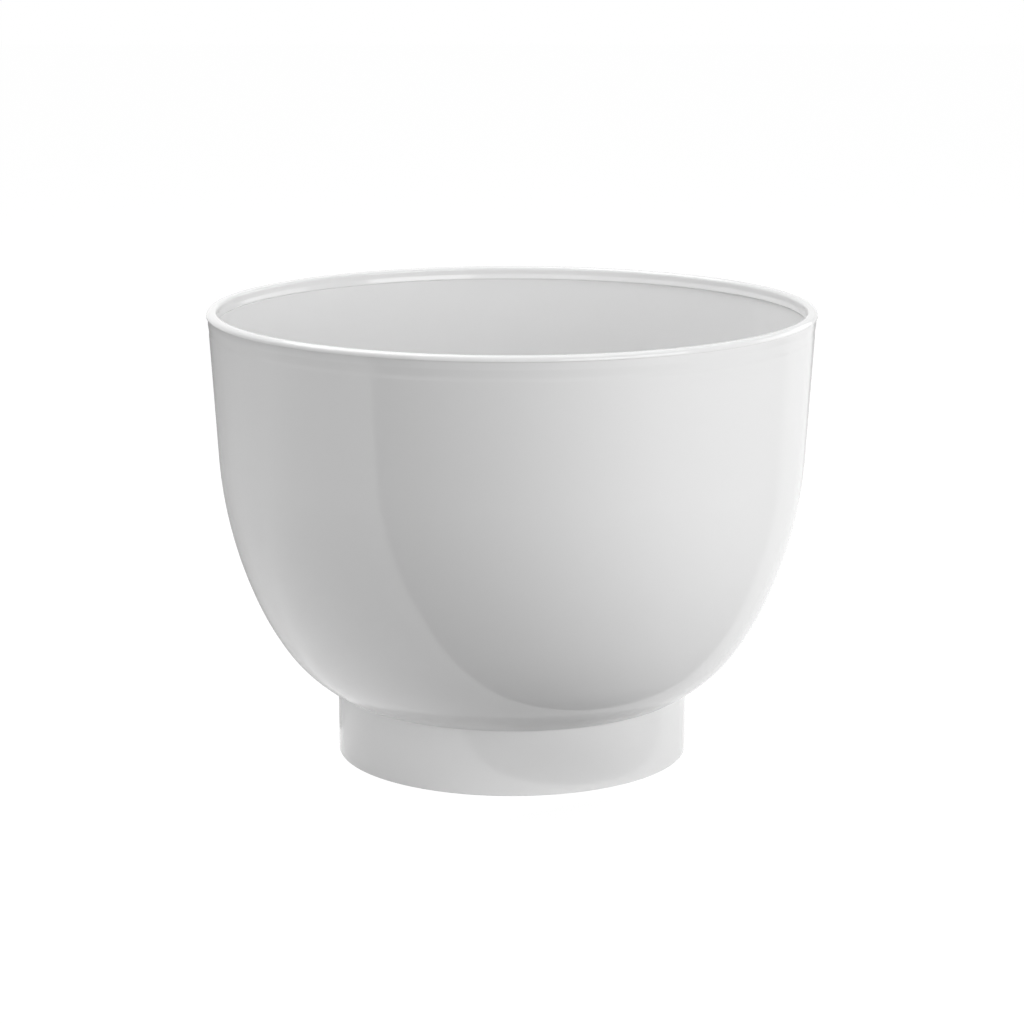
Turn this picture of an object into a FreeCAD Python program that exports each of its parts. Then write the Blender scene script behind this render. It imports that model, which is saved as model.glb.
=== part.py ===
"""Stand mixer bowl: one injection-moulded piece.

A deep round cup with a drafted wall, three tangent curves down to a flat floor,
a thick rounded lip over a shallow band, a snap ridge inside the mouth for a lid,
and a hollow ring foot with bayonet lugs that the mixer's turntable holds.
Millimetres, +Z up, origin at the centre of the foot's standing edge.
"""
import FreeCAD
import Part
import math
import os
import Sketcher

# Driving dimensions: name, value, meaning
SIZES = (
    ("rim_radius", 108.0, "outside radius of the lip"),
    ("bowl_height", 161.5, "from the standing edge to the top of the lip"),
    ("wall", 2.5, "thickness of the moulded wall"),
    ("draft", 3.4, "lean of the straight wall from vertical, degrees"),
    ("wall_inset", 0.8, "from the lip's outside in to the top of the wall"),
    ("shoulder_height", 109.5, "where the straight wall starts to curve"),
    ("shoulder_radius", 150.0, "first curve below the straight wall"),
    ("belly_height", 56.8, "where the first curve meets the second"),
    ("belly_radius", 101.0, "second curve"),
    ("hip_height", 40.6, "where the second curve meets the third"),
    ("hip_radius", 55.0, "third curve, down to the flat floor"),
    ("lip_thickness", 3.8, "across the top of the lip"),
    ("lip_drop", 2.0, "height of the lip's outside face"),
    ("lip_overhang", 0.55, "lip's outside beyond the band below it"),
    ("lip_round", 1.2, "rounding of the lip's two top edges"),
    ("band_drop", 7.0, "from the lip's top to the lower edge of the outside band"),
    ("band_sink", 1.0, "from the lip's outside in to the band's lower edge"),
    ("step_drop", 0.9, "height of the soft step from the band to the wall"),
    ("ridge_drop", 4.3, "from the lip's top to the edge of the snap ridge"),
    ("ridge_lean", 0.2, "how far the ridge reaches inside the lip's inner edge"),
    ("ledge_drop", 1.0, "height of the undercut below the ridge"),
    ("foot_radius", 63.0, "outside radius of the ring foot"),
    ("foot_wall", 3.0, "thickness of the ring foot"),
    ("edge_break", 0.4, "chamfer that takes off the thin edges"),
    ("lug_count", 4, "bayonet lugs inside the foot"),
    ("lug_width", 24.0, "length of a lug along the ring"),
    ("lug_depth", 4.0, "how far a lug reaches inwards"),
    ("lug_rise", 2.0, "from the standing edge to a lug's lower face"),
    ("lug_thickness", 3.0, "thickness of a lug"),
    ("lead_in", 2.0, "slant of the end where the turntable's hook enters"),
    ("stop_width", 3.0, "width of the stop at a lug's other end"),
    ("stop_height", 5.0, "height of the stop above the lug"),
    ("gate_radius", 4.0, "shallow dimple round the moulding gate"),
    ("gate_depth", 0.4, "depth of that dimple"),
    ("gate_stub_radius", 1.0, "trimmed gate left at its centre"),
)

# Ends of a sketch line or curve, and the sketch's own origin and axes
START, END, CENTRE = 1, 2, 3
ORIGIN = (-1, 1)
ACROSS, UPRIGHT = -1, -2

doc = FreeCAD.newDocument("MixerBowl")
sheet = doc.addObject("Spreadsheet::Sheet", "Sizes")
for row, (alias, value, meaning) in enumerate(SIZES, start=1):
    sheet.set(f"A{row}", meaning)
    sheet.set(f"B{row}", str(value))
    sheet.setAlias(f"B{row}", alias)
doc.recompute()
size = {alias: float(sheet.get(alias)) for alias, value, meaning in SIZES}

body = doc.addObject("PartDesign::Body", "Bowl")
body.Label = "bowl"


def new_sketch(name, plane):
    """Empty sketch on the origin plane of the body that has this role."""
    sketch = body.newObject("Sketcher::SketchObject", name)
    support = [part for part in body.Origin.OriginFeatures if part.Role == plane]
    sketch.AttachmentSupport = [(support[0], "")]
    sketch.MapMode = "FlatFace"
    return sketch


def line(sketch, start, end):
    """Straight edge of a sketch."""
    return sketch.addGeometry(Part.LineSegment(FreeCAD.Vector(*start), FreeCAD.Vector(*end)))


def arc(sketch, centre, radius, low, high):
    """Round edge of a sketch, between two angles in radians."""
    circle = Part.Circle(FreeCAD.Vector(*centre), FreeCAD.Vector(0, 0, 1), radius)
    return sketch.addGeometry(Part.ArcOfCircle(circle, low, high))


def relate(sketch, kind, *places):
    """Geometric relation such as Coincident, Tangent or Vertical."""
    sketch.addConstraint(Sketcher.Constraint(kind, *places))


def bind(sketch, kind, places, expression):
    """Dimension driven by the sheet; it is named for what it holds."""
    if kind == "Radius":
        present = sketch.Geometry[places[0]].Radius
    elif kind == "Angle":
        edge = sketch.Geometry[places[0]]
        run = edge.EndPoint - edge.StartPoint
        present = math.atan2(run.y, run.x)
    else:
        gap = sketch.getPoint(*places[2:]) - sketch.getPoint(*places[:2])
        present = gap.x if kind == "DistanceX" else gap.y
    index = sketch.addConstraint(Sketcher.Constraint(kind, *places, present))
    sketch.renameConstraint(index, f"{kind}_{index}")
    sketch.setExpression(f"Constraints.{kind}_{index}", expression)


def ring_edges(shape, radius, low, high):
    """Names of the circular edges round the bowl's axis at this radius and height."""
    names = []
    for number, edge in enumerate(shape.Edges, start=1):
        if not isinstance(edge.Curve, Part.Circle):
            continue
        centre = edge.Curve.Center
        on_axis = math.hypot(centre.x, centre.y) < 1e-6
        if on_axis and abs(edge.Curve.Radius - radius) < 1e-4 and low < centre.z < high:
            names.append(f"Edge{number}")
    return names


def bowl_section():
    """Half section of the moulding, from the axis out to the lip and back inside.

    The wall is one thickness: each inside curve shares its centre with the outside
    one, and the straight inside wall is parallel to the outside. The ring foot
    hangs from the third curve, so that curve is cut in two by the foot.
    """
    section = new_sketch("BowlSection", "XZ_Plane")
    edge = {}

    # Starting places: the lean of the wall fixes the first centre, then each
    # curve ends at its height and the next centre lies on the same normal
    top_radius = size["rim_radius"] - size["wall_inset"]
    top_height = size["bowl_height"] - size["band_drop"] - size["step_drop"]
    lean = math.radians(size["draft"])
    shoulder_drop = top_height - size["shoulder_height"]
    meeting = (top_radius - shoulder_drop * math.tan(lean), size["shoulder_height"])
    angle = -lean
    curves = []
    for name, ends_at in (("shoulder", "belly"), ("belly", "hip"), ("hip", None)):
        radius = size[f"{name}_radius"]
        centre = (meeting[0] - radius * math.cos(angle), meeting[1] - radius * math.sin(angle))
        low = -math.pi / 2
        if ends_at:
            low = math.asin((size[f"{ends_at}_height"] - centre[1]) / radius)
        curves.append((name, centre, radius, low, angle))
        meeting = (centre[0] + radius * math.cos(low), centre[1] + radius * math.sin(low))
        angle = low
    hip_centre, hip_radius = curves[-1][1:3]
    flat_radius, underside = meeting
    foot_outer = size["foot_radius"]
    foot_inner = foot_outer - size["foot_wall"]
    cut_outer = -math.acos((foot_outer - flat_radius) / hip_radius)
    cut_inner = -math.acos((foot_inner - flat_radius) / hip_radius)

    # Moulding gate, underside and ring foot
    stub = size["gate_stub_radius"]
    dimple = size["gate_radius"]
    dimple_roof = underside + size["gate_depth"]
    edge["stub"] = line(section, (0, underside), (stub, underside))
    edge["stub_side"] = line(section, (stub, underside), (stub, dimple_roof))
    edge["dimple"] = line(section, (stub, dimple_roof), (dimple, dimple_roof))
    edge["dimple_side"] = line(section, (dimple, dimple_roof), (dimple, underside))
    edge["underside"] = line(section, (dimple, underside), (flat_radius, underside))
    edge["foot_roof"] = arc(section, hip_centre, hip_radius, -math.pi / 2, cut_inner)
    roof_end = section.getPoint(edge["foot_roof"], END)
    edge["foot_inside"] = line(section, (foot_inner, roof_end.y), (foot_inner, 0))
    edge["standing"] = line(section, (foot_inner, 0), (foot_outer, 0))
    foot_top = hip_centre[1] + hip_radius * math.sin(cut_outer)
    edge["foot_outside"] = line(section, (foot_outer, 0), (foot_outer, foot_top))

    # Outside of the cup, upwards
    for name, centre, radius, low, high in reversed(curves):
        edge[name] = arc(section, centre, radius, cut_outer if name == "hip" else low, high)
    rim = size["rim_radius"]
    height = size["bowl_height"]
    turn = size["lip_round"]
    band_low = (rim - size["band_sink"], height - size["band_drop"])
    band_top = (rim - size["lip_overhang"], height - size["lip_drop"])
    shoulder_top = section.getPoint(edge["shoulder"], END)
    edge["wall"] = line(section, (shoulder_top.x, shoulder_top.y), (top_radius, top_height))
    edge["step"] = line(section, (top_radius, top_height), band_low)
    edge["band"] = line(section, band_low, band_top)

    # Lip
    inner_rim = rim - size["lip_thickness"]
    edge["lip_under"] = line(section, band_top, (rim, band_top[1]))
    edge["lip_side"] = line(section, (rim, band_top[1]), (rim, height - turn))
    edge["lip_outer_round"] = arc(section, (rim - turn, height - turn), turn, 0, math.pi / 2)
    edge["lip_top"] = line(section, (rim - turn, height), (inner_rim + turn, height))
    centre = (inner_rim + turn, height - turn)
    edge["lip_inner_round"] = arc(section, centre, turn, math.pi / 2, math.pi)

    # Inside of the mouth and of the cup, downwards
    ridge = (inner_rim - size["ridge_lean"], height - size["ridge_drop"])
    wall_across = size["wall"] / math.cos(lean)
    ledge_height = ridge[1] - size["ledge_drop"]
    ledge_radius = top_radius - wall_across + (ledge_height - top_height) * math.tan(lean)
    edge["ridge_face"] = line(section, (inner_rim, height - turn), ridge)
    edge["ledge"] = line(section, ridge, (ledge_radius, ledge_height))
    for name, centre, radius, low, high in curves:
        edge[f"inner_{name}"] = arc(section, centre, radius - size["wall"], low, high)
    inner_top = section.getPoint(edge["inner_shoulder"], END)
    edge["inner_wall"] = line(section, (ledge_radius, ledge_height), (inner_top.x, inner_top.y))
    floor = underside + size["wall"]
    edge["floor"] = line(section, (flat_radius, floor), (0, floor))
    edge["axis"] = line(section, (0, floor), (0, underside))

    # Corners, and smooth joins where two edges run into each other
    corners = (
        ("foot_roof", END, "foot_inside", START), ("foot_inside", END, "standing", START),
        ("standing", END, "foot_outside", START), ("foot_outside", END, "hip", START),
        ("wall", END, "step", START), ("step", END, "band", START),
        ("band", END, "lip_under", START), ("lip_under", END, "lip_side", START),
        ("lip_inner_round", END, "ridge_face", START), ("ridge_face", END, "ledge", START),
        ("ledge", END, "inner_wall", START), ("floor", END, "axis", START),
        ("axis", END, "stub", START), ("stub", END, "stub_side", START),
        ("stub_side", END, "dimple", START), ("dimple", END, "dimple_side", START),
        ("dimple_side", END, "underside", START),
        ("foot_roof", CENTRE, "hip", CENTRE), ("inner_hip", CENTRE, "hip", CENTRE),
        ("inner_belly", CENTRE, "belly", CENTRE), ("inner_shoulder", CENTRE, "shoulder", CENTRE),
    )
    smooth = (
        ("underside", END, "foot_roof", START), ("hip", END, "belly", START),
        ("belly", END, "shoulder", START), ("shoulder", END, "wall", START),
        ("lip_side", END, "lip_outer_round", START), ("lip_outer_round", END, "lip_top", START),
        ("lip_top", END, "lip_inner_round", START), ("inner_wall", END, "inner_shoulder", END),
        ("inner_shoulder", START, "inner_belly", END), ("inner_belly", START, "inner_hip", END),
        ("inner_hip", START, "floor", START),
    )
    for first, first_end, second, second_end in corners:
        relate(section, "Coincident", edge[first], first_end, edge[second], second_end)
    for first, first_end, second, second_end in smooth:
        relate(section, "Tangent", edge[first], first_end, edge[second], second_end)
    for name in ("stub", "dimple", "underside", "lip_under", "lip_top", "floor"):
        relate(section, "Horizontal", edge[name])
    for name in ("stub_side", "dimple_side", "foot_inside", "foot_outside", "lip_side"):
        relate(section, "Vertical", edge[name])
    relate(section, "Equal", edge["foot_roof"], edge["hip"])
    relate(section, "Equal", edge["lip_inner_round"], edge["lip_outer_round"])
    relate(section, "Parallel", edge["inner_wall"], edge["wall"])
    relate(section, "Horizontal", edge["lip_inner_round"], CENTRE, edge["lip_inner_round"], END)
    relate(section, "Horizontal", edge["stub"], END, edge["underside"], START)
    relate(section, "PointOnObject", edge["stub"], START, UPRIGHT)
    relate(section, "PointOnObject", edge["floor"], END, UPRIGHT)
    relate(section, "PointOnObject", edge["standing"], START, ACROSS)
    relate(section, "PointOnObject", edge["standing"], END, ACROSS)

    # Dimensions
    for name in ("shoulder", "belly", "hip"):
        bind(section, "Radius", (edge[name],), f"Sizes.{name}_radius")
        bind(section, "DistanceY", (*ORIGIN, edge[name], END), f"Sizes.{name}_height")
    bind(section, "Angle", (edge["wall"],), "90 - Sizes.draft")
    bind(section, "Radius", (edge["lip_outer_round"],), "Sizes.lip_round")
    across = (
        (*ORIGIN, "stub", END, "Sizes.gate_stub_radius"),
        (*ORIGIN, "dimple", END, "Sizes.gate_radius"),
        (*ORIGIN, "foot_outside", START, "Sizes.foot_radius"),
        ("foot_inside", END, "foot_outside", START, "Sizes.foot_wall"),
        (*ORIGIN, "wall", END, "Sizes.rim_radius - Sizes.wall_inset"),
        (*ORIGIN, "band", START, "Sizes.rim_radius - Sizes.band_sink"),
        (*ORIGIN, "band", END, "Sizes.rim_radius - Sizes.lip_overhang"),
        (*ORIGIN, "lip_side", END, "Sizes.rim_radius"),
        ("lip_inner_round", END, "lip_side", END, "Sizes.lip_thickness"),
        ("ridge_face", END, "ridge_face", START, "Sizes.ridge_lean"),
    )
    upright = (
        ("stub_side", START, "stub_side", END, "Sizes.gate_depth"),
        (*ORIGIN, "wall", END, "Sizes.bowl_height - Sizes.band_drop - Sizes.step_drop"),
        (*ORIGIN, "band", START, "Sizes.bowl_height - Sizes.band_drop"),
        (*ORIGIN, "band", END, "Sizes.bowl_height - Sizes.lip_drop"),
        (*ORIGIN, "lip_top", START, "Sizes.bowl_height"),
        ("ridge_face", END, "lip_top", START, "Sizes.ridge_drop"),
        ("ledge", END, "ridge_face", END, "Sizes.ledge_drop"),
        ("underside", START, "floor", END, "Sizes.wall"),
    )
    for kind, rows in (("DistanceX", across), ("DistanceY", upright)):
        for first, first_end, second, second_end, expression in rows:
            places = (edge.get(first, first), first_end, edge[second], second_end)
            bind(section, kind, places, expression)
    return section


def lug_plan(name, length, lead=None):
    """Plan of a block on the inside of the foot, `length` long up to the lug's stop end.

    Its outer curve lies inside the foot's wall, so the block is one with it. The
    other end slants by `lead`, where the turntable's hook slides in.
    """
    plan = new_sketch(name, "XY_Plane")
    outer = size["foot_radius"] - size["foot_wall"] / 2
    inner = size["foot_radius"] - size["foot_wall"] - size["lug_depth"]
    far = size["lug_width"] / 2
    near = far - size[length]
    slant = near + (size[lead] if lead else 0)
    back = arc(plan, (0, 0), outer, math.asin(near / outer), math.asin(far / outer))
    front = arc(plan, (0, 0), inner, math.asin(slant / inner), math.asin(far / inner))
    for curve in (back, front):
        relate(plan, "Coincident", curve, CENTRE, *ORIGIN)
    for end in (START, END):
        root = plan.getPoint(back, end)
        tip = plan.getPoint(front, end)
        side = line(plan, (root.x, root.y), (tip.x, tip.y))
        relate(plan, "Coincident", side, START, back, end)
        relate(plan, "Coincident", side, END, front, end)
        if end == END or not lead:
            relate(plan, "Horizontal", side)
    bind(plan, "Radius", (back,), "Sizes.foot_radius - Sizes.foot_wall / 2")
    bind(plan, "Radius", (front,), "Sizes.foot_radius - Sizes.foot_wall - Sizes.lug_depth")
    bind(plan, "DistanceY", (*ORIGIN, back, END), "Sizes.lug_width / 2")
    bind(plan, "DistanceY", (back, START, back, END), f"Sizes.{length}")
    if lead:
        bind(plan, "DistanceY", (back, START, front, START), f"Sizes.{lead}")
    return plan


def raised_pad(name, plan, rise, thickness):
    """Block of this thickness on a plan that is lifted to its height in the foot."""
    plan.setExpression("AttachmentOffset.Base.z", rise)
    pad = body.newObject("PartDesign::Pad", name)
    pad.Profile = plan
    pad.setExpression("Length", thickness)
    return pad


section = bowl_section()
doc.recompute()
turned = body.newObject("PartDesign::Revolution", "Cup")
turned.Profile = section
turned.ReferenceAxis = (section, ["V_Axis"])
turned.Angle = 360
doc.recompute()

# Thin edges are broken: the foot's standing edge, the lip's lower edge and the snap ridge
near = size["edge_break"]
lip_foot = size["bowl_height"] - size["lip_drop"]
ridge_height = size["bowl_height"] - size["ridge_drop"]
ridge_radius = size["rim_radius"] - size["lip_thickness"] - size["ridge_lean"]
thin = []
for ring_radius, ring_height in (
    (size["foot_radius"], 0),
    (size["foot_radius"] - size["foot_wall"], 0),
    (size["rim_radius"], lip_foot),
    (ridge_radius, ridge_height),
):
    thin += ring_edges(turned.Shape, ring_radius, ring_height - near, ring_height + near)
broken = body.newObject("PartDesign::Chamfer", "ThinEdges")
broken.Base = (turned, thin)
broken.setExpression("Size", "Sizes.edge_break")
doc.recompute()

# Bayonet lugs: a ledge with a stop at one end, repeated round the foot
ledge_plan = lug_plan("LugPlan", "lug_width", "lead_in")
ledge = raised_pad("Lug", ledge_plan, "Sizes.lug_rise", "Sizes.lug_thickness")
stop_plan = lug_plan("StopPlan", "stop_width")
stop = raised_pad("Stop", stop_plan, "Sizes.lug_rise + Sizes.lug_thickness", "Sizes.stop_height")
doc.recompute()
ring = body.newObject("PartDesign::PolarPattern", "LugRing")
ring.Originals = [ledge, stop]
ring.Axis = (stop_plan, ["N_Axis"])
ring.Angle = 360
ring.setExpression("Occurrences", "Sizes.lug_count")
body.Tip = ring
doc.recompute()

# Nothing is written unless every step of the model is sound
for item in doc.Objects:
    if {"Invalid", "Error"} & set(item.State):
        raise RuntimeError(f"{item.Name} failed: {item.State}")
for plan in doc.findObjects("Sketcher::SketchObject"):
    if not plan.FullyConstrained:
        raise RuntimeError(f"{plan.Name} is not fully constrained")
shape = body.Shape
if shape.isNull() or not shape.isValid() or len(shape.Solids) != 1:
    raise RuntimeError("the bowl is not one sound solid")
if ring.Shape.Volume <= broken.Shape.Volume:
    raise RuntimeError("the lugs added nothing")

os.makedirs("parts", exist_ok=True)
shape.exportStep(f"parts/{body.Label}.step")
box = shape.optimalBoundingBox()
print(f"{body.Label}: {shape.Volume / 1000:.1f} cm3, {box.XLength:.2f} x {box.YLength:.2f} x {box.ZLength:.2f} mm")
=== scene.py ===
# %% [markdown]
# # A stand mixer bowl
#
# The real bowl is one piece of white plastic, injection moulded and then left as it
# came out of the tool: smooth, hard and softly glossy. So almost everything that the
# eye sees is one surface turned round an upright axis, and what a lamp does on it.
# The work goes in that order: the outline, the turned surface, the plastic, then
# the studio that lets the plastic read as plastic.

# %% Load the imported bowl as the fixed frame
import bpy
import math
import numpy as np
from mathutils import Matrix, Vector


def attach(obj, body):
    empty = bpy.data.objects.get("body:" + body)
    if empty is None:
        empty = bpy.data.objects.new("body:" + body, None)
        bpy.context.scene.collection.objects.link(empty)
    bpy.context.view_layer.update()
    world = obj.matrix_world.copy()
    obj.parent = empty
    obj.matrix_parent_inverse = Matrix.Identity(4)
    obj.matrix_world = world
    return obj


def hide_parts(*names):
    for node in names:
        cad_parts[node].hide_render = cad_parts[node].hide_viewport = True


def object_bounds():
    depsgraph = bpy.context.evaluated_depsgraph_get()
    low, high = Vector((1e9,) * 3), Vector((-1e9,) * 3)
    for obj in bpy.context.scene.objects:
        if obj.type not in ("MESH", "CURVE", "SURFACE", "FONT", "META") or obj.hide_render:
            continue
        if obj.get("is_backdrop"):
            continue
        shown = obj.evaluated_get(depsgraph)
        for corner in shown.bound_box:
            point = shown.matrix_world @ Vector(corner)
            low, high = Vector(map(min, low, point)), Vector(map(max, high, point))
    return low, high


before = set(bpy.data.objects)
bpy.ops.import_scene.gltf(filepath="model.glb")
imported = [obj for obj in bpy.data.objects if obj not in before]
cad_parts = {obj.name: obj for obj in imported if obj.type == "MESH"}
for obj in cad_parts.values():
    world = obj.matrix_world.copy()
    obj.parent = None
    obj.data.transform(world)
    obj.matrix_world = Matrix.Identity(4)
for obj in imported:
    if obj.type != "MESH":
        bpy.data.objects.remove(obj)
cad_low, cad_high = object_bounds()
print("CAD box, mm:", [round(1000 * (b - a), 2) for a, b in zip(cad_low, cad_high)])

# %% [markdown]
# ## Sizes
#
# A moulding drawing gives a handful of sizes and the rest follows. The overall height
# and the lip's radius are read from the frame, so that the skin made here always has
# the size of the solid it replaces. The others are written once, in millimetres, and
# a corner of the section is its radius and its height. The finest are worth the
# trouble, because they are all that a plain white bowl has to show: the lip's outer
# rounding is larger than the inner one, the band under it leans in by less than a
# millimetre and eases back to the wall, a shallow groove runs round inside the lip, and
# the ridge below the groove overhangs the wall, which draws the dark line there.

# %% Driving sizes, in millimetres
RIM = 1000 * cad_high.x
HEIGHT = 1000 * cad_high.z
WALL = 2.5
DRAFT = math.radians(3.4)
WALL_TOP = (RIM - 0.842, HEIGHT - 8.6)
# height at which each curve of the side starts, and its radius
CURVES = ((109.5, 150.0), (56.8, 101.0), (40.6, 55.0))
LIP_THICKNESS = 3.8
LIP_DROP = 2.0
LIP_ROUND = 1.6
LIP_ROUND_INSIDE = 1.2
BAND_TOP = (RIM - 0.5, HEIGHT - LIP_DROP)
BAND_MIDDLE = (RIM - 0.52, HEIGHT - 4.6)
BAND_FOOT = (RIM - 0.88, HEIGHT - 7.2)
BAND_ROUND = 6.0
GROOVE = (RIM - LIP_THICKNESS + 0.28, HEIGHT - 2.9)
GROOVE_ROUND = 2.5
RIDGE = (RIM - LIP_THICKNESS - 0.1, HEIGHT - 4.6)
LEDGE_DROP = 0.5
LEDGE_ROUND = 0.3
FOOT = 63.0
FOOT_WALL = 3.0
GATE_STUB = 1.0
GATE_DIMPLE = 4.0
GATE_DEPTH = 0.4
EDGE_ROUND = 0.4
ROOT_ROUND = 0.6
FINE_ROUND = 0.15
print(f"lip {2 * RIM:.1f} across, {HEIGHT:.1f} tall")

# %% [markdown]
# ## The outline as strokes
#
# The half section is a closed path of straight strokes and round strokes. A stroke is
# a start, an end and, for a round one, its centre: enough to find any point on it and
# the direction it runs in. Drawing the path once as strokes, and only then rounding its
# corners, is how a draughtsman works too: sizes stay readable, and a corner's
# rounding can change without touching anything else.


# %% Straight and round strokes
def straight(start, end):
    """Stroke from start to end: point = start + share x (end - start)."""
    start, end = np.array(start, float), np.array(end, float)
    length = np.linalg.norm(end - start)

    def at(share):
        share = np.asarray(share, float)[:, None]
        return start + share * (end - start), np.tile((end - start) / length, (len(share), 1))

    return at, length


def round_stroke(centre, radius, start_angle, end_angle):
    """Stroke on a circle: point = centre + radius x (cosine, sine) of the angle."""
    centre = np.array(centre, float)
    sense = np.sign(end_angle - start_angle)

    def at(share):
        angle = start_angle + np.asarray(share, float) * (end_angle - start_angle)
        out = np.stack([np.cos(angle), np.sin(angle)], 1)
        along = sense * np.stack([-np.sin(angle), np.cos(angle)], 1)
        return centre + radius * out, along

    return at, radius * abs(end_angle - start_angle)


# %% [markdown]
# ## Rounding a corner
#
# No moulded edge is truly sharp. Each corner is cut back by radius x tan(half the turn)
# on both strokes, and the gap is closed by a conic arc whose handle is the old corner
# and whose weight is the cosine of half the turn: for two straight strokes that is an
# exact circle, and next to a curve it still runs smoothly into both sides.


# %% A corner between two strokes
CORNER_ROWS = 5


def corner(first, second, count):
    """Points of a rounded corner from the end of one cut stroke to the start of the next.

    With t from 0 to 1 and w the weight, a point is the mean of start, handle and end
    under the shares (1 - t) squared, 2 w t (1 - t) and t squared.
    """
    (a, along_a), (b, along_b) = first, second
    turn = math.acos(float(np.clip(along_a @ along_b, -1, 1)))
    side = np.array([[along_a[0], -along_b[0]], [along_a[1], -along_b[1]]])
    reach = np.linalg.solve(side, b - a)
    handle = a + reach[0] * along_a
    weight = math.cos(turn / 2)
    t = np.linspace(0, 1, count + 2)[1:-1, None]
    below = (1 - t) ** 2 + 2 * weight * t * (1 - t) + t**2
    return ((1 - t) ** 2 * a + 2 * weight * t * (1 - t) * handle + t**2 * b) / below


def outline(strokes):
    """Joins (stroke, radius of the corner after it, rows) into one dense path.

    Rows on a stroke crowd towards its ends, share = (1 - cosine) / 2, so that a
    rounding's shading never leaks into the flat beside it.
    """
    trims = []
    for number, ((at, _), radius, _) in enumerate(strokes):
        after = strokes[(number + 1) % len(strokes)][0][0]
        turn = math.acos(float(np.clip(at([1.0])[1][0] @ after([0.0])[1][0], -1, 1)))
        trims.append(radius * math.tan(turn / 2) if radius else 0.0)
    parts = []
    for number, ((at, length), _, rows) in enumerate(strokes):
        low = trims[number - 1] / length if number else 0.0
        high = 1 - trims[number] / length
        crowd = (1 - np.cos(np.linspace(0, np.pi, rows))) / 2
        points, along = at(low + (high - low) * crowd)
        if number and not trims[number - 1]:
            points = points[1:]
        parts.append(points)
        if trims[number]:
            after, after_length = strokes[number + 1][0]
            place, way = after([trims[number] / after_length])
            parts.append(corner((points[-1], along[-1]), (place[0], way[0]), CORNER_ROWS))
    return np.concatenate(parts)


# %% [markdown]
# ## The cup's three curves
#
# Below the drafted wall the side bends in three tangent arcs, each tighter than the last:
# a long shoulder, a belly and a hip that lands flat. Each centre lies on the same
# normal as the one before, so the side has no crease. The inside uses the same centres
# with radii smaller by the wall, which is what keeps a moulding's wall even.

# %% Work out the centres from the top down
centres = []
angle = -DRAFT
meeting_height = CURVES[0][0]
meeting = np.array([WALL_TOP[0] - (WALL_TOP[1] - meeting_height) * math.tan(DRAFT), meeting_height])
for number, (height, radius) in enumerate(CURVES):
    centre = meeting - radius * np.array([math.cos(angle), math.sin(angle)])
    low = -math.pi / 2
    if number < len(CURVES) - 1:
        low = math.asin((CURVES[number + 1][0] - centre[1]) / radius)
    centres.append((centre, radius, low, angle))
    meeting = centre + radius * np.array([math.cos(low), math.sin(low)])
    angle = low
FLAT_RADIUS, UNDERSIDE = meeting
hip_centre, hip_radius = centres[-1][:2]
print(f"underside {UNDERSIDE:.2f} above the table, flat to radius {FLAT_RADIUS:.2f}")

# %% [markdown]
# ## Lip, ridge, foot and gate
#
# The rest of the half section hangs on those curves. The lip is a thick bead that keeps
# the mouth round, and a lid snaps under the ridge inside it. The foot is a plain ring
# whose two faces cut the hip, so the places where they meet it are worked out from the
# hip's circle. Under the floor is the dimple with the trimmed stub where the plastic
# entered the mould. The strokes are listed in the order in which a pencil would draw
# them, each with the rounding after it: outwards along the underside, round the foot,
# up the side, over the lip and back down inside.


# %% Assemble the half section, from the gate under the floor to the axis inside
def foot_angle(radius):
    """Angle where the foot's face of this radius cuts the hip: - arccosine of run / hip radius."""
    return -math.acos((radius - FLAT_RADIUS) / hip_radius)


def on_hip(angle):
    """Point of the outside hip at this angle."""
    return hip_centre + hip_radius * np.array([math.cos(angle), math.sin(angle)])


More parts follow.
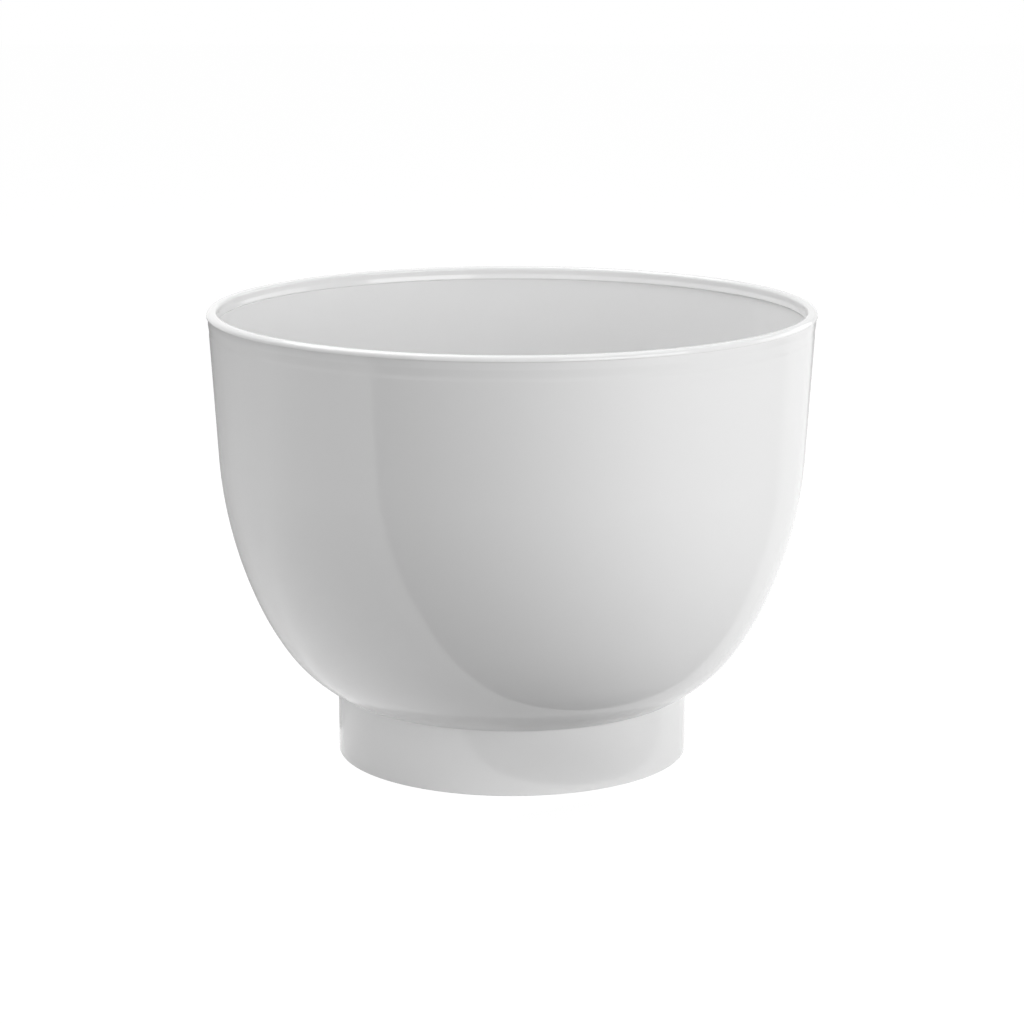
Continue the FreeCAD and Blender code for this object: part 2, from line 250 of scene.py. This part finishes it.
def half_section():
    """Path of the moulding in radius and height, from the axis below to the axis inside.

    Each entry is a stroke, the radius of the corner after it and the rows along it.
    """
    inner_foot = FOOT - FOOT_WALL
    cut_in, cut_out = foot_angle(inner_foot), foot_angle(FOOT)
    inner_rim = RIM - LIP_THICKNESS
    ledge_height = RIDGE[1] - LEDGE_DROP
    ledge_radius = WALL_TOP[0] - WALL / math.cos(DRAFT) + (ledge_height - WALL_TOP[1]) * math.tan(DRAFT)
    ledge = (ledge_radius, ledge_height)
    shoulder, belly, hip = centres
    wall_way = np.array([math.cos(DRAFT), -math.sin(DRAFT)])
    wall_foot = shoulder[0] + shoulder[1] * wall_way
    inner_wall_foot = shoulder[0] + (shoulder[1] - WALL) * wall_way
    inside = [(centre, radius - WALL, high, low) for centre, radius, low, high in centres]
    dimple = UNDERSIDE + GATE_DEPTH
    return outline([
        (straight((0, UNDERSIDE), (GATE_STUB, UNDERSIDE)), FINE_ROUND, 3),
        (straight((GATE_STUB, UNDERSIDE), (GATE_STUB, dimple)), FINE_ROUND, 2),
        (straight((GATE_STUB, dimple), (GATE_DIMPLE, dimple)), FINE_ROUND, 3),
        (straight((GATE_DIMPLE, dimple), (GATE_DIMPLE, UNDERSIDE)), FINE_ROUND, 2),
        (straight((GATE_DIMPLE, UNDERSIDE), (FLAT_RADIUS, UNDERSIDE)), 0, 8),
        (round_stroke(hip_centre, hip_radius, -math.pi / 2, cut_in), ROOT_ROUND, 12),
        (straight(on_hip(cut_in), (inner_foot, 0)), EDGE_ROUND, 8),
        (straight((inner_foot, 0), (FOOT, 0)), EDGE_ROUND, 3),
        (straight((FOOT, 0), on_hip(cut_out)), ROOT_ROUND, 12),
        (round_stroke(hip_centre, hip_radius, cut_out, hip[3]), 0, 18),
        (round_stroke(*belly), 0, 14),
        (round_stroke(*shoulder), 0, 22),
        (straight(wall_foot, WALL_TOP), BAND_ROUND, 14),
        (straight(WALL_TOP, BAND_FOOT), BAND_ROUND, 3),
        (straight(BAND_FOOT, BAND_MIDDLE), BAND_ROUND, 4),
        (straight(BAND_MIDDLE, BAND_TOP), FINE_ROUND, 4),
        (straight(BAND_TOP, (RIM, BAND_TOP[1])), FINE_ROUND, 2),
        (straight((RIM, BAND_TOP[1]), (RIM, HEIGHT)), LIP_ROUND, 2),
        (straight((RIM, HEIGHT), (inner_rim, HEIGHT)), LIP_ROUND_INSIDE, 4),
        (straight((inner_rim, HEIGHT), GROOVE), GROOVE_ROUND, 4),
        (straight(GROOVE, RIDGE), EDGE_ROUND, 4),
        (straight(RIDGE, ledge), LEDGE_ROUND, 3),
        (straight(ledge, inner_wall_foot), 0, 14),
        (round_stroke(*inside[0]), 0, 22),
        (round_stroke(*inside[1]), 0, 14),
        (round_stroke(*inside[2]), 0, 20),
        (straight((FLAT_RADIUS, UNDERSIDE + WALL), (0, UNDERSIDE + WALL)), 0, 8),
    ])


section = half_section()
print(f"half section: {len(section)} points, up to {section[:, 1].max():.2f} high")

# %% [markdown]
# ## Turning the section
#
# A bowl is turned on a lathe in the drawing even when it is moulded in the shop. The
# grid has one parameter along the outline and one round the axis: x = radius x cosine,
# y = radius x sine, z = height. The two ends of the outline lie on the axis, so each
# closes to one point, a pole, and the last column joins the first with no seam. Every
# face then points outwards: out of the plastic, on the inside of the bowl as well.

# %% Surface of revolution as one closed mesh
COLUMNS = 320


def turned_mesh(name, path, columns):
    """Closed mesh of a path of (radius, height) in mm turned once round the axis, in metres."""
    body = path[1:-1] / 1000
    round_angle = np.arange(columns) * 2 * np.pi / columns
    x = body[:, :1] * np.cos(round_angle)
    y = body[:, :1] * np.sin(round_angle)
    z = np.repeat(body[:, 1:], columns, axis=1)
    grid = np.stack([x, y, z], axis=2).reshape(-1, 3)
    poles = np.array([[0, 0, path[0, 1]], [0, 0, path[-1, 1]]]) / 1000
    rows = len(body)
    here = np.arange(columns)
    there = (here + 1) % columns
    step = columns * np.arange(rows - 1)[:, None]
    quads = np.stack([step + here, step + there, step + columns + there, step + columns + here], 2)
    first, last = rows * columns, rows * columns + 1
    top = (rows - 1) * columns
    low_fan = np.stack([np.full(columns, first), there, here], 1)
    high_fan = np.stack([np.full(columns, last), top + here, top + there], 1)
    faces = quads.reshape(-1, 4).tolist() + low_fan.tolist() + high_fan.tolist()
    mesh = bpy.data.meshes.new(name)
    mesh.from_pydata(np.concatenate([grid, poles]).tolist(), [], faces)
    mesh.polygons.foreach_set("use_smooth", np.ones(len(faces), bool))
    mesh.update()
    return mesh


def add_piece(mesh):
    """New object for a mesh that already lies in the frame; it rides with the bowl."""
    piece = bpy.data.objects.new(mesh.name, mesh)
    bpy.context.scene.collection.objects.link(piece)
    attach(piece, "root")
    return piece


bowl = add_piece(turned_mesh("bowl_moulding", section, COLUMNS))
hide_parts("bowl")
print(f"bowl: {len(bowl.data.polygons)} faces")

# %% [markdown]
# ## The bayonet lugs
#
# Inside the ring foot sit the ledges that the mixer's turntable grips, each with a stop
# at one end and a slanted lead-in at the other. They are moulded in one with the foot,
# so each is a closed block whose back lies within the foot's wall. A block is a plan
# carried upwards: the plan has two round sides and two ends, and all four blocks come
# from one plan turned by a quarter each.

# %% Sizes of the lugs, in millimetres
LUG_COUNT = 4
LUG_LONG = 24.0
LUG_DEPTH = 4.0
LUG_LOW, LUG_HIGH = 2.0, 5.0
LEAD_IN = 2.0
STOP_LONG = 3.0
STOP_HIGH = 10.0
STOP_ROOT = 1.0
LUG_ROUND = 0.3
LUG_CREASE = math.radians(40)
PLAN_POINTS = 25
ROUND_POINTS = 5


# %% A block on the inside of the foot
def block_plan(long, lead, inset):
    """Plan of a block, anticlockwise: along the back inside the foot, then along the front.

    A round side is x = root of (radius squared - y squared), with y divided evenly.
    """
    high = LUG_LONG / 2 - inset
    low = LUG_LONG / 2 - long + inset
    back = np.linspace(low, high, PLAN_POINTS)
    front = np.linspace(high, low + lead, PLAN_POINTS)
    y = np.concatenate([back, front])
    radius = np.repeat([FOOT - FOOT_WALL / 2, FOOT - FOOT_WALL - LUG_DEPTH + inset], PLAN_POINTS)
    return np.stack([np.sqrt(radius**2 - y**2), y], 1)


def block_ring(long, lead, low, high):
    """One block as rows of points: its plan at rising heights, drawn in at both ends.

    At a quarter circle's angle the inset is round x (1 - sine) and the height from the
    end face is round x (1 - cosine).
    """
    quarter = np.linspace(0, np.pi / 2, ROUND_POINTS)
    inset = LUG_ROUND * (1 - np.sin(quarter))
    rise = LUG_ROUND * (1 - np.cos(quarter))
    heights = np.concatenate([low + rise, (high - rise)[::-1]])
    insets = np.concatenate([inset, inset[::-1]])
    rows = [np.column_stack([block_plan(long, lead, i), np.full(2 * PLAN_POINTS, z)])
            for z, i in zip(heights, insets)]
    return np.array(rows)


def block_mesh(name, rows):
    """The block and its copies round the foot: each copy is the block turned about the axis."""
    height, around = rows.shape[:2]
    here = np.arange(around)
    there = (here + 1) % around
    step = around * np.arange(height - 1)[:, None]
    quads = np.stack([step + here, step + there, step + around + there, step + around + here], 2)
    sides = quads.reshape(-1, 4)
    places, faces = [], []
    for number in range(LUG_COUNT):
        turn = 2 * np.pi * number / LUG_COUNT
        spin = np.array([[np.cos(turn), np.sin(turn), 0], [-np.sin(turn), np.cos(turn), 0], [0, 0, 1]])
        first = number * height * around
        places.append(rows.reshape(-1, 3) @ spin)
        faces += (first + sides).tolist()
        faces.append((first + here[::-1]).tolist())
        faces.append((first + around * (height - 1) + here).tolist())
    mesh = bpy.data.meshes.new(name)
    mesh.from_pydata((np.concatenate(places) / 1000).tolist(), [], faces)
    mesh.polygons.foreach_set("use_smooth", np.ones(len(faces), bool))
    mesh.set_sharp_from_angle(angle=LUG_CREASE)
    return mesh


lug_rows = block_ring(LUG_LONG, LEAD_IN, LUG_LOW, LUG_HIGH)
stop_rows = block_ring(STOP_LONG, 0.0, LUG_HIGH - STOP_ROOT, STOP_HIGH)
lugs = add_piece(block_mesh("bayonet_lugs", lug_rows))
stops = add_piece(block_mesh("bayonet_stops", stop_rows))
print(f"lugs: {len(lugs.data.polygons)} faces, stops: {len(stops.data.polygons)} faces")

# %% [markdown]
# ## The plastic
#
# White moulding plastic is a bright scattering body under a clear, smooth skin. The
# Principled shader holds both: the base colour is the body, and the index of refraction
# with a low roughness is the skin. What keeps it from looking like a flat colour is
# small: the white drifts a little where the melt flowed, the gloss is duller in patches
# where hands and cloths have been, and the skin has a fine orange peel. Only inside the
# foot, where nobody looks, is the steel of the mould left matt. Every pattern reads
# Object coordinates, which are metres here.


# %% A helper for node trees
def add_node(tree, kind, inputs=(), **settings):
    """New node: settings are its attributes, inputs give each socket a value or a link."""
    node = tree.nodes.new(kind)
    for name, value in settings.items():
        setattr(node, name, value)
    for socket, value in dict(inputs).items():
        if isinstance(value, bpy.types.NodeSocket):
            tree.links.new(value, node.inputs[socket])
        else:
            node.inputs[socket].default_value = value
    return node


# %% Where the mould is matt: inside the ring foot, under the floor
def inside_foot(tree, place):
    """1 inside the foot and 0 elsewhere: (radius < foot's middle) x (height < floor's middle)."""
    apart = add_node(tree, "ShaderNodeSeparateXYZ", {0: place})
    flat = add_node(tree, "ShaderNodeCombineXYZ", {0: apart.outputs[0], 1: apart.outputs[1]})
    radius = add_node(tree, "ShaderNodeVectorMath", {0: flat.outputs[0]}, operation="LENGTH")
    near = add_node(tree, "ShaderNodeMath", {
        0: radius.outputs["Value"], 1: (FOOT - FOOT_WALL / 2) / 1000}, operation="LESS_THAN")
    below = add_node(tree, "ShaderNodeMath", {
        0: apart.outputs[2], 1: (UNDERSIDE + WALL / 2) / 1000}, operation="LESS_THAN")
    return add_node(tree, "ShaderNodeMath", {0: near.outputs[0], 1: below.outputs[0]},
                    operation="MULTIPLY").outputs[0]


# %% How white, how glossy and how coarse
# scales are patches to the metre, bumps are metres
PLASTIC_WHITE = 0.84
WHITE_DRIFT = 0.008
PLASTIC_INDEX = 1.5
GLOSS_BEST = 0.07
GLOSS_WORST = 0.13
MATT_ADDED = 0.25
FLOW_SCALE = 11.0
HANDLING_SCALE = 34.0
PEEL_SCALE = 650.0
PEEL_BUMP = 0.000002
GRAIN_SCALE = 3500.0
GRAIN_BUMP = 0.00002


# %% The plastic itself
def plastic_material(name):
    """Moulded white plastic: drifting white, patchy gloss, orange peel, matt inside the foot.

    The roughness is matt x what the grain adds + the gloss of this patch.
    """
    material = bpy.data.materials.new(name)
    material.use_nodes = True
    tree = material.node_tree
    shader = tree.nodes["Principled BSDF"]
    shader.inputs["IOR"].default_value = PLASTIC_INDEX
    place = add_node(tree, "ShaderNodeTexCoord").outputs["Object"]
    matt = inside_foot(tree, place)

    flow = add_node(tree, "ShaderNodeTexNoise", {"Vector": place, "Scale": FLOW_SCALE, "Detail": 2.0})
    drift = add_node(tree, "ShaderNodeValToRGB", {"Fac": flow.outputs["Fac"]})
    low_white = PLASTIC_WHITE - WHITE_DRIFT
    high_white = PLASTIC_WHITE + WHITE_DRIFT
    drift.color_ramp.elements[0].color = (low_white, low_white, low_white, 1)
    drift.color_ramp.elements[1].color = (high_white, high_white, high_white, 1)
    tree.links.new(drift.outputs["Color"], shader.inputs["Base Color"])

    handling = add_node(tree, "ShaderNodeTexNoise", {
        "Vector": place, "Scale": HANDLING_SCALE, "Detail": 4.0})
    gloss = add_node(tree, "ShaderNodeMapRange", {
        "Value": handling.outputs["Fac"], "To Min": GLOSS_BEST, "To Max": GLOSS_WORST})
    dull = add_node(tree, "ShaderNodeMath", {0: matt, 1: MATT_ADDED, 2: gloss.outputs["Result"]},
                    operation="MULTIPLY_ADD")
    tree.links.new(dull.outputs[0], shader.inputs["Roughness"])

    peel = add_node(tree, "ShaderNodeTexNoise", {"Vector": place, "Scale": PEEL_SCALE, "Detail": 1.0})
    smooth = add_node(tree, "ShaderNodeBump", {"Height": peel.outputs["Fac"], "Distance": PEEL_BUMP})
    grain = add_node(tree, "ShaderNodeTexNoise", {"Vector": place, "Scale": GRAIN_SCALE, "Detail": 2.0})
    eroded = add_node(tree, "ShaderNodeMath", {0: grain.outputs["Fac"], 1: matt}, operation="MULTIPLY")
    rough = add_node(tree, "ShaderNodeBump", {
        "Height": eroded.outputs[0], "Distance": GRAIN_BUMP, "Normal": smooth.outputs["Normal"]})
    tree.links.new(rough.outputs["Normal"], shader.inputs["Normal"])
    return material


plastic = plastic_material("moulded_white_plastic")
for piece in (bowl, lugs, stops):
    piece.data.materials.append(plastic)
print(f"{plastic.name}: {len(plastic.node_tree.nodes)} nodes")

# %% [markdown]
# ## The camera
#
# The bowl is seen from just above its lip with a long lens, so that its two ellipses stay
# slim. Distance, height and tilt were worked out from those ellipses: the lip's and the
# foot's open by different amounts, and only one height and distance gives both.

# %% Camera at the viewing angle
CAMERA_BACK = 1.0665
CAMERA_UP = 0.3212
LOOK_DOWN = math.radians(12.392)
LENS = 106.64
SENSOR = 36

lens = bpy.data.cameras.new("camera")
lens.lens = LENS
lens.sensor_width = SENSOR
camera = bpy.data.objects.new("camera", lens)
camera.location = (0, -CAMERA_BACK, CAMERA_UP)
camera.rotation_euler = (math.pi / 2 - LOOK_DOWN, 0, 0)
bpy.context.scene.collection.objects.link(camera)
bpy.context.scene.camera = camera
print(f"camera {CAMERA_BACK:.3f} m back, {CAMERA_UP:.3f} m up, {LENS:.0f} mm lens")

# %% [markdown]
# ## White ground
#
# A cut-out picture has nothing behind the object, yet the bowl has to stand on
# something. The floor is a pale sheet whose lit colour bounces light up into the
# bowl; the camera, and the plastic's own reflections, see a glow of nearly full white
# with a little lit grey on top, so what remains of the floor is the bowl's shadow.


# %% Rays that should meet plain white
def sees_white(tree):
    """1 for rays from the camera, off a gloss or through glass: the largest of the three flags."""
    path = add_node(tree, "ShaderNodeLightPath")
    gloss = add_node(tree, "ShaderNodeMath", {
        0: path.outputs["Is Camera Ray"], 1: path.outputs["Is Glossy Ray"]}, operation="MAXIMUM")
    return add_node(tree, "ShaderNodeMath", {
        0: gloss.outputs[0], 1: path.outputs["Is Transmission Ray"]}, operation="MAXIMUM").outputs[0]


# %% The floor
FLOOR_PALE = 0.8
FLOOR_GLOW = 0.97
FLOOR_SHADE = 0.12
FLOOR_HALF = 4.0


def floor_material(name):
    """Matt floor for bounced light; glow + a share of matt for rays that should meet white."""
    material = bpy.data.materials.new(name)
    material.use_nodes = True
    tree = material.node_tree
    tree.nodes.clear()
    pale = (FLOOR_PALE, FLOOR_PALE, FLOOR_PALE, 1)
    dark = (FLOOR_SHADE, FLOOR_SHADE, FLOOR_SHADE, 1)
    matt = add_node(tree, "ShaderNodeBsdfDiffuse", {"Color": pale})
    shade = add_node(tree, "ShaderNodeBsdfDiffuse", {"Color": dark})
    glow = add_node(tree, "ShaderNodeEmission", {"Strength": FLOOR_GLOW})
    white = add_node(tree, "ShaderNodeAddShader", {0: shade.outputs[0], 1: glow.outputs[0]})
    seen = add_node(tree, "ShaderNodeMixShader", {
        0: sees_white(tree), 1: matt.outputs[0], 2: white.outputs[0]})
    add_node(tree, "ShaderNodeOutputMaterial", {"Surface": seen.outputs[0]})
    return material


def flat_sheet(name, corners, material):
    """One flat face through corners given in metres; it belongs to the studio."""
    mesh = bpy.data.meshes.new(name)
    mesh.from_pydata(np.asarray(corners, float).tolist(), [], [tuple(range(len(corners)))])
    mesh.materials.append(material)
    sheet = bpy.data.objects.new(name, mesh)
    bpy.context.scene.collection.objects.link(sheet)
    sheet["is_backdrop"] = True
    return sheet


corners = FLOOR_HALF * np.array([[-1, -1, 0], [1, -1, 0], [1, 1, 0], [-1, 1, 0]])
floor = flat_sheet("floor", corners, floor_material("pale_floor"))
print(f"{floor.name}: {2 * FLOOR_HALF:.0f} m square")

# %% [markdown]
# ## Cards on the floor
#
# White on white has no edges of its own, so two sheets of painted shade lie on the floor
# where the glossy side of the bowl mirrors them. A dark one lies in front of the foot: its
# straight edge paints the one crisp dark line down the bowl's left front, and round to the
# right it fades to the floor's white; near the foot its dark stands in for the bowl's own
# shadow on the floor, which the floor's white glow hides from reflections. A grey one lies
# behind on the left and fades at both its sides: it paints a dimmer reflection on the left
# edge of the bowl, which would otherwise shine, because plastic mirrors most where it is
# seen at a slant. The camera and the lamps' shadows ignore both sheets. Besides the painted
# shade in the reflections, they only take away light that the bowl would get from that
# stretch of floor.

# %% The painted shade cards, in metres, degrees and levels of grey
CARD_LIFT = 0.0006
CARD_REACH = 1.2
EDGE_DROP = 0.0835
EDGE_SLOPE = 0.69
# a fade is its centre on the floor, the bearing of its middle, the two angles from there
# between which it eases, and the grey at each; the grey is painted shade that only the
# bowl's reflections show
PAINTED_SHADE_FADE = ((0.025, 0.0), -60.0, (45.0, 120.0), (0.03, 0.85))
GREY_SHADE_FADE = ((0.0, 0.0), -155.0, (12.0, 52.0), (0.48, 0.9))
GREY_NEAR = 0.07
GREY_STEPS = 31


def bearing_way(degrees):
    """Direction on the floor of a bearing round the bowl: (sine, -cosine), 0 towards the camera."""
    turn = np.radians(degrees)
    return np.stack([np.sin(turn), -np.cos(turn), 0 * turn], -1)


def card_material(name, fade):
    """Matt grey of painted shade, seen in reflections, that eases from one level to another by the
    angle from the card's middle.

    The angle at a point is arccosine of (way from the centre . way of the middle) / distance.
    """
    (x, y), middle, (near, far), (grey_near, grey_far) = fade
    material = bpy.data.materials.new(name)
    material.use_nodes = True
    tree = material.node_tree
    tree.nodes.clear()
    place = add_node(tree, "ShaderNodeTexCoord").outputs["Object"]
    moved = add_node(tree, "ShaderNodeVectorMath", {0: place, 1: (x, y, 0)}, operation="SUBTRACT")
    way = add_node(tree, "ShaderNodeVectorMath", {0: moved.outputs[0]}, operation="NORMALIZE")
    share = add_node(tree, "ShaderNodeVectorMath", {
        0: way.outputs[0], 1: tuple(bearing_way(middle))}, operation="DOT_PRODUCT")
    angle = add_node(tree, "ShaderNodeMath", {0: share.outputs["Value"]}, operation="ARCCOSINE")
    grey = add_node(tree, "ShaderNodeMapRange", {
        "Value": angle.outputs[0], "From Min": math.radians(near), "From Max": math.radians(far),
        "To Min": grey_near, "To Max": grey_far}, interpolation_type="SMOOTHSTEP")
    matt = add_node(tree, "ShaderNodeBsdfDiffuse", {"Color": grey.outputs["Result"]})
    add_node(tree, "ShaderNodeOutputMaterial", {"Surface": matt.outputs[0]})
    return material


def lay_card(name, corners, fade):
    """A sheet of painted shade that only the bowl sees, in its reflections: neither the camera nor the
    lamps' shadows show it.
    """
    card = flat_sheet(name, corners, card_material(name + "_painted_shade", fade))
    card.visible_camera = False
    card.visible_shadow = False
    return card


along = np.array([1, EDGE_SLOPE, 0]) / math.hypot(1, EDGE_SLOPE)
across = np.array([EDGE_SLOPE, -1, 0]) / math.hypot(EDGE_SLOPE, 1)
edge = np.array([0, -EDGE_DROP, CARD_LIFT])
# painted shade: a near-black sheet seen only in the bowl's reflections; near the foot it stands in for
# the bowl's own shadow on the floor
painted_shade_card = lay_card("painted_shade_card", [
    edge - CARD_REACH * along, edge - CARD_REACH * along + CARD_REACH * across,
    edge + CARD_REACH * along + CARD_REACH * across, edge + CARD_REACH * along], PAINTED_SHADE_FADE)
# painted shade: a grey sheet seen only in reflections, which dims the mirrored white on the bowl's left
# edge
ways = bearing_way(GREY_SHADE_FADE[1] + np.linspace(GREY_SHADE_FADE[2][1], -GREY_SHADE_FADE[2][1], GREY_STEPS))
lift = np.array([0, 0, CARD_LIFT])
painted_grey_shade_card = lay_card("painted_grey_shade_card", np.concatenate([
    CARD_REACH * ways + lift, GREY_NEAR * ways[::-1] + lift]), GREY_SHADE_FADE)
print(f"cards: {painted_shade_card.name} and {painted_grey_shade_card.name}, {CARD_REACH:.1f} m long")

# %% [markdown]
# ## The light
#
# A white bowl on white is drawn by small differences of grey, so the light comes from a
# few large panels of unlike strength, over a weak fill from all round. The key stands
# to the right of the camera, with weak panels in front and on the left, and another
# skims the right side from behind: that gives the slow climb from grey to white across
# the front. A high panel over the back left and one straight above reach into the mouth
# and whiten the lip. All stand about a metre away and above the horizon. The steep side
# of the bowl mirrors only what lies on the floor, so no panel shows in it as a hard
# shape, and only the rounded lip catches them. The camera itself sees plain white.

# %% World: soft fill for the shading, white for what is seen
FILL = 0.2

world = bpy.data.worlds.new("studio")
world.use_nodes = True
bpy.context.scene.world = world
tree = world.node_tree
tree.nodes.clear()
fill = add_node(tree, "ShaderNodeBackground", {"Color": (1, 1, 1, 1), "Strength": FILL})
white = add_node(tree, "ShaderNodeBackground", {"Color": (1, 1, 1, 1), "Strength": 1.0})
seen = add_node(tree, "ShaderNodeMixShader", {
    0: sees_white(tree), 1: fill.outputs[0], 2: white.outputs[0]})
add_node(tree, "ShaderNodeOutputWorld", {"Surface": seen.outputs[0]})
bpy.context.scene.view_settings.view_transform = "Standard"


# %% Panels
STRAIGHT_DOWN = 0.99


def panel(name, centre, aim, width, height, glow):
    """Soft rectangular lamp at a place, facing another; its power is pi x glow x its area."""
    lamp = bpy.data.lights.new(name, "AREA")
    lamp.shape = "RECTANGLE"
    lamp.size = width
    lamp.size_y = height
    lamp.energy = math.pi * glow * width * height
    holder = bpy.data.objects.new(name, lamp)
    centre, aim = np.array(centre, float), np.array(aim, float)
    holder.location = centre
    back = (centre - aim) / np.linalg.norm(centre - aim)
    side = np.cross([0, 0, 1], back) if back[2] < STRAIGHT_DOWN else np.array([1.0, 0, 0])
    side = side / np.linalg.norm(side)
    up = np.cross(back, side)
    turned = np.eye(4)
    turned[:3, 0], turned[:3, 1], turned[:3, 2], turned[:3, 3] = side, up, back, centre
    holder.matrix_world = turned.T
    bpy.context.scene.collection.objects.link(holder)
    holder.visible_camera = False
    return holder


# %% Stand the lamps round the bowl
BOWL_MIDDLE = 0.08
# degrees above the horizon, distance, width and height, in metres
LOW_PANEL = (15.0, 0.95, 0.8, 0.4)
MIDDLE_PANEL = (38.0, 1.0, 0.8, 0.6)
HIGH_PANEL = (62.0, 1.0, 0.8, 0.6)
TOP_PANEL = (89.0, 1.0, 0.9, 0.9)
# name, bearing, kind of panel and glow
LAMPS = (
    ("front", -10.0, LOW_PANEL, 1.1),
    ("key_right", 40.0, LOW_PANEL, 4.1),
    ("rim_right", 120.0, LOW_PANEL, 1.7),
    ("side_left", -90.0, MIDDLE_PANEL, 0.7),
    ("high_back", -120.0, HIGH_PANEL, 3.5),
    ("top", 0.0, TOP_PANEL, 0.87),
)


def stand_lamp(name, bearing, kind, glow):
    """Panel on a sphere round the bowl's middle; the bearing is 0 at the camera, + to the right.

    Its way from there is cosine of the rise x the bearing's way on the floor, and sine
    of the rise upwards.
    """
    rise, distance, width, height = kind
    level, upright = math.cos(math.radians(rise)), math.sin(math.radians(rise))
    towards = level * bearing_way(bearing) + upright * np.array([0, 0, 1])
    middle = np.array([0, 0, BOWL_MIDDLE])
    return panel(name, middle + distance * towards, middle, width, height, glow)


lamps = [stand_lamp(*lamp) for lamp in LAMPS]
for lamp in lamps:
    place = [round(value, 2) for value in lamp.matrix_world.translation]
    print(f"{lamp.name}: {lamp.data.energy:.2f} W at {place}")

# %% [markdown]
# ## Last lines
#
# The skin has to keep the size of the solid it dresses, so both boxes are written down.

# %% Print the skin's box, beside the solid's printed at the start, and finish
low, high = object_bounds()
print("visual box, mm:", [round(1000 * (b - a), 2) for a, b in zip(low, high)])
